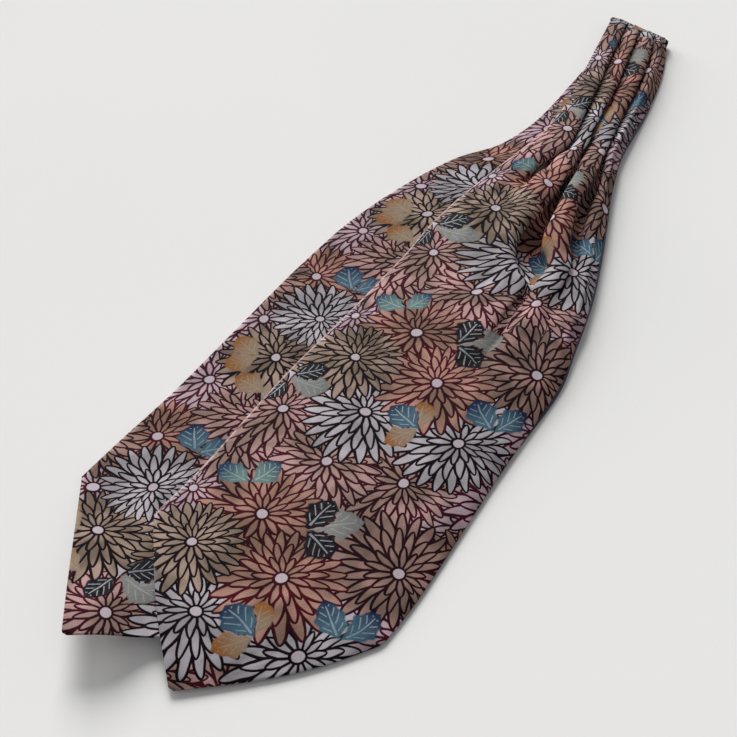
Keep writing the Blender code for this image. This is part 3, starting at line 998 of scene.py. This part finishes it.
def front_sheet(finish):
    """The upper half: its pointed blade, its fan and its four knife pleats, in one sheet."""
    stations = [np.linspace(*stretch)[:-1] for stretch in STRETCHES]
    stations = np.concatenate(stations + [SEAM_Y + np.array(SEAM_STEPS), [BAND_END_Y - GAP]])
    ends = np.concatenate([[0], np.cumsum(CUTS)])
    points = []
    flat = []
    for y in stations:
        curve = along(section(y), CUTS)
        run = np.concatenate([[0], np.cumsum(np.linalg.norm(np.diff(curve, axis=0), axis=1))])
        rolled = ROLLED * float(smooth(*ROLL_COMES, y) - smooth(*ROLL_GOES, y))
        spare = (CUT_WIDTH - rolled - run[-1]) * float(smooth(RIGHT_CORNER_Y, FULL_WIDTH_Y, y))
        pull = PULL * np.exp(-(((y - PULL_Y) / PULL_REACH) ** 2))
        across = run + edges(y)[0] - uncut_edge(y, FRONT, LEFT_CORNER_Y)
        count = np.arange(len(run))
        deepest = ends[POCKET[0]]
        beyond = smooth(deepest, ends[POCKET[-1] + 1], count)
        across = across - pull * smooth(0, deepest, count) * (1 - beyond)
        for knot in UNDERS if spare > 0 else POCKET:
            low, high = ends[knot], ends[knot + 1]
            across = across + spare / len(UNDERS) * np.clip((count - low) / (high - low), 0, 1)
        groove = SEAM_DEEP * math.exp(-(((y - SEAM_Y) / SEAM_HALF) ** 2))
        jump = SEAM_JUMP if y > SEAM_Y else (0.0, 0.0)
        points.append(np.column_stack([curve[:, 0], np.full(len(curve), y), curve[:, 1] - groove]))
        flat.append(np.column_stack([across + jump[0], np.full(len(curve), y - APEX_Y + jump[1])]))
    points = np.array(points)
    points[..., 2] += crease_height(points[..., 0], points[..., 1], CREASES)
    return wall("front_sheet", points, flat, finish, SHEET_WALL)


# The turn of the neckband: its columns and rows, and how much cloth goes across it, because it is laid
# in pleats, and round it
TURN_COLUMNS = 61
TURN_ROWS = 33
TURN_CLOTH = 2.4
TURN_ROUND = 6.0


def neck_turn(finish):
    """The turn of the neckband, from the top of the pleats round to the table."""
    top = section(BAND_END_Y + TURN_DEPTH)
    across = np.linspace(top[0, 0], top[-1, 0], TURN_COLUMNS)
    halves = np.interp(across, top[:, 0], top[:, 1]) / 2
    points = []
    flat = []
    for angle in np.radians(np.linspace(0, 180, TURN_ROWS)):
        y = BAND_END_Y + TURN_DEPTH * np.sin(angle)
        points.append([(x, y, half * (1 + np.cos(angle))) for x, half in zip(across, halves)])
        along_cloth = BAND_END_Y - APEX_Y + SEAM_JUMP[1] + angle * TURN_ROUND
        flat.append([((x - across[0]) * TURN_CLOTH + SEAM_JUMP[0], along_cloth) for x in across])
    return wall("neck_turn_cloth", points, flat, finish, SHEET_WALL)


def back_lift(x, y):
    """How far the lower half's tip is lifted off the table."""
    part = float(np.clip((BACK_LIFT_Y - y) / (BACK_LIFT_Y - BACK_APEX_Y), 0, 1))
    side = float(np.clip((x - BACK_APEX_X) / BACK_LIFT_REACH, 0, 1))
    return BACK_LIFT * part * part * (3 - 2 * part) * (1 - BACK_LIFT_FALL * side)


# How much higher the lower half's tip stands clear of the upper half, how it leans back for that, where
# it starts and is full, and how far from the upper half's edge it starts and over what reach it grows
CURL = 8.0
CURL_LEAN = (0.33, -0.15)
CURL_Y = (-120, -225)
CURL_CLEAR = 4
CURL_REACH = 40


def curled(x, y, z):
    """A place of the lower half with its free tip curled up."""
    part = float(smooth(*CURL_Y, y))
    clear = 1.0
    if y > APEX_Y:
        clear = float(np.clip((edges(y)[0] - CURL_CLEAR - x) / CURL_REACH, 0, 1))
    rise = CURL * part * clear * clear * (3 - 2 * clear)
    return x + CURL_LEAN[0] * rise, y + CURL_LEAN[1] * rise, z + rise


# The lower half's rows in its tip and in the rest of it, and its columns
BACK_TIP_ROWS = 24
BACK_ROWS = 180
BACK_COLUMNS = 61


def back_sheet(finish):
    """The lower half, flat on the table but for its lifted tip."""
    stations = np.concatenate([
        np.linspace(BACK_APEX_Y, BACK_RIGHT_CORNER_Y, BACK_TIP_ROWS)[:-1],
        np.linspace(BACK_RIGHT_CORNER_Y, BAND_END_Y - BACK_GAP, BACK_ROWS),
    ])
    points = []
    flat = []
    for y in stations:
        left, right = back_edges(y)
        start = uncut_edge(y, BACK, BACK_LEFT_CORNER_Y)
        across = np.linspace(left, right, BACK_COLUMNS)
        points.append([curled(x, y, BACK_TOP + back_lift(x, y)) for x in across])
        flat.append([(CUT_WIDTH + x - start, y - BACK_APEX_Y) for x in across])
    return wall("back_sheet", points, flat, finish, BACK_WALL)


# The lower half's fan: where it starts, is full and ends, how deep it starts in the sheet below and how
# high its outer edge comes to lie, and its rows and columns
FAN_START_Y = 60
FAN_FULL_Y = 120
FAN_END_Y = 345
FAN_SUNK = 0.4
FAN_LIFT = 1.9
FAN_ROWS = 110
FAN_COLUMNS = 25


def back_fan(finish):
    """The lower half's fan where it shows, from the silhouette to under the upper half."""
    points = []
    flat = []
    for y in np.linspace(FAN_START_Y, FAN_END_Y, FAN_ROWS):
        row = BACK.at(y)
        swell = float(smooth(FAN_START_Y, FAN_FULL_Y, y))
        low = BACK_TOP - FAN_SUNK + FAN_LIFT * swell
        rise = (row["fan"] - low) * swell
        reach = edges(y)[0] + TUCK - row["left"]
        parts = np.linspace(0, 1, FAN_COLUMNS)
        points.append([
            (row["left"] + reach * part, y, low + rise * np.sin(part * np.pi / 2))
            for part in parts
        ])
        flat.append([(CUT_WIDTH + reach * part, y - BACK_APEX_Y) for part in parts])
    return wall("back_fan", points, flat, finish, SHEET_WALL)


# The plain edge: its end, the share of its height, its width, its foot over the table, where it tucks in
# under the band and how far, and its rows and columns
STRIP_END_Y = 405
STRIP_RISE = 0.78
STRIP_WIDTH = 9.0
STRIP_FOOT = 0.3
STRIP_TUCK_Y = 340.0
STRIP_TUCK = 1.6
STRIP_ROWS = 140
STRIP_COLUMNS = 17


def plain_edge_strip(finish):
    """The plain edge on the right, a rolled strip from the table up under the upper half."""
    points = []
    flat = []
    for y in np.linspace(0, STRIP_END_Y, STRIP_ROWS):
        row = EDGE.at(y)
        outer = row["outer"]
        if y > STRIP_TUCK_Y:
            outer = min(outer, edges(y)[1] - STRIP_TUCK)
        rise = STRIP_RISE * row["rise"] - STRIP_FOOT
        turns = np.radians(np.linspace(90, 0, STRIP_COLUMNS))
        points.append([
            (outer - STRIP_WIDTH * (1 - np.cos(turn)), y, STRIP_FOOT + rise * np.sin(turn))
            for turn in turns
        ])
        flat.append([(STRIP_WIDTH * turn, y) for turn in turns])
    return wall("plain_edge_strip", points, flat, finish, SHEET_WALL)


# The hidden layers: their ends and rows, how far inside the upper half's left edge and the plain edge
# they lie, how far they look aside for the upper half's inner face and how far under it they stay, how
# the print runs round them, their columns and height, and the folds that show at their sides
LAYERS_START_Y = 62.0
LAYERS_END_Y = 404.0
LAYERS_ROWS = 110
LAYERS_LEFT = 2.0
LAYERS_RIGHT = 12.5
LAYERS_LOOK = 1.5
LAYERS_UNDER = 1.7
LAYERS_PRINT_STEP = 3.0
LAYERS_COLUMNS = 25
LAYERS_BOTTOM = 2.1
LAYERS_TOP = 4.6
LAYERS_SWELL = 2.0
LAYERS_THINNEST = 0.3
LAYERS_FOLDS = 3
LAYERS_FOLD_STEPS = 6
LAYERS_BULGE = 0.7
WELD_WITHIN = 1e-6


def layer_side(x, top, outward):
    """One side of the layers at x, from the table's side up, with a bulge for each folded layer."""
    parts = np.linspace(0, 1, LAYERS_FOLD_STEPS * LAYERS_FOLDS + 1)[1:-1]
    bulges = outward * LAYERS_BULGE * np.abs(np.sin(parts * math.pi * LAYERS_FOLDS))
    return [(x + bulge, LAYERS_BOTTOM + (top - LAYERS_BOTTOM) * part) for part, bulge in zip(parts, bulges)]


def under_layers(finish):
    """The layers between the two halves: one rounded solid whose sides show the folded layers."""
    points = []
    flat = []
    for y in np.linspace(LAYERS_START_Y, LAYERS_END_Y, LAYERS_ROWS):
        curve = along(section(y), CUTS)
        left = edges(y)[0] + TUCK + LAYERS_LEFT
        right = EDGE.at(y)["outer"] - LAYERS_RIGHT
        window = (right - left) / (LAYERS_COLUMNS - 1) + LAYERS_LOOK
        across = np.linspace(left, right, LAYERS_COLUMNS)
        tops = []
        for part, x in zip(np.linspace(0, 1, LAYERS_COLUMNS), across):
            lid = curve[np.abs(curve[:, 0] - x) <= window, 1].min() - LAYERS_UNDER
            top = min(lid, LAYERS_TOP + LAYERS_SWELL * math.sqrt(math.sin(math.pi * part)))
            tops.append(max(LAYERS_BOTTOM + LAYERS_THINNEST, top))
        loop = [(x, LAYERS_BOTTOM) for x in across]
        loop += layer_side(right, tops[-1], 1)
        loop += list(zip(across, tops))[::-1]
        loop += layer_side(left, tops[0], -1)[::-1]
        loop.append(loop[0])
        points.append([(x, y, z) for x, z in loop])
        flat.append([(LAYERS_PRINT_STEP * count, y - BACK_APEX_Y) for count in range(len(loop))])
    work = sheet_mesh(points, flat)
    bmesh.ops.remove_doubles(work, verts=work.verts, dist=WELD_WITHIN)
    bmesh.ops.holes_fill(work, edges=work.edges, sides=0)
    bmesh.ops.recalc_face_normals(work, faces=work.faces)
    return finished("under_layers", work, finish)


silk = printed_silk()
plain = plain_edge_finish()

front = front_sheet(silk)
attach(front, "root")
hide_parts("front_blade", "front_pleat_1", "front_pleat_2", "front_pleat_3", "front_pleat_4")

turn = neck_turn(silk)
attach(turn, "root")
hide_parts("neck_turn")

back = back_sheet(silk)
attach(back, "root")
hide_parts("back_blade")

fan = back_fan(silk)
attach(fan, "root")
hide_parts("back_pleat")

layers = under_layers(silk)
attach(layers, "root")
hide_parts("hidden_layers")

strip = plain_edge_strip(plain)
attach(strip, "root")
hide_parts("lining_edge")

work = bmesh.new()
bmesh.ops.create_grid(work, x_segments=2, y_segments=2, size=TABLE_HALF)
floor = finished("floor", work, table_top())
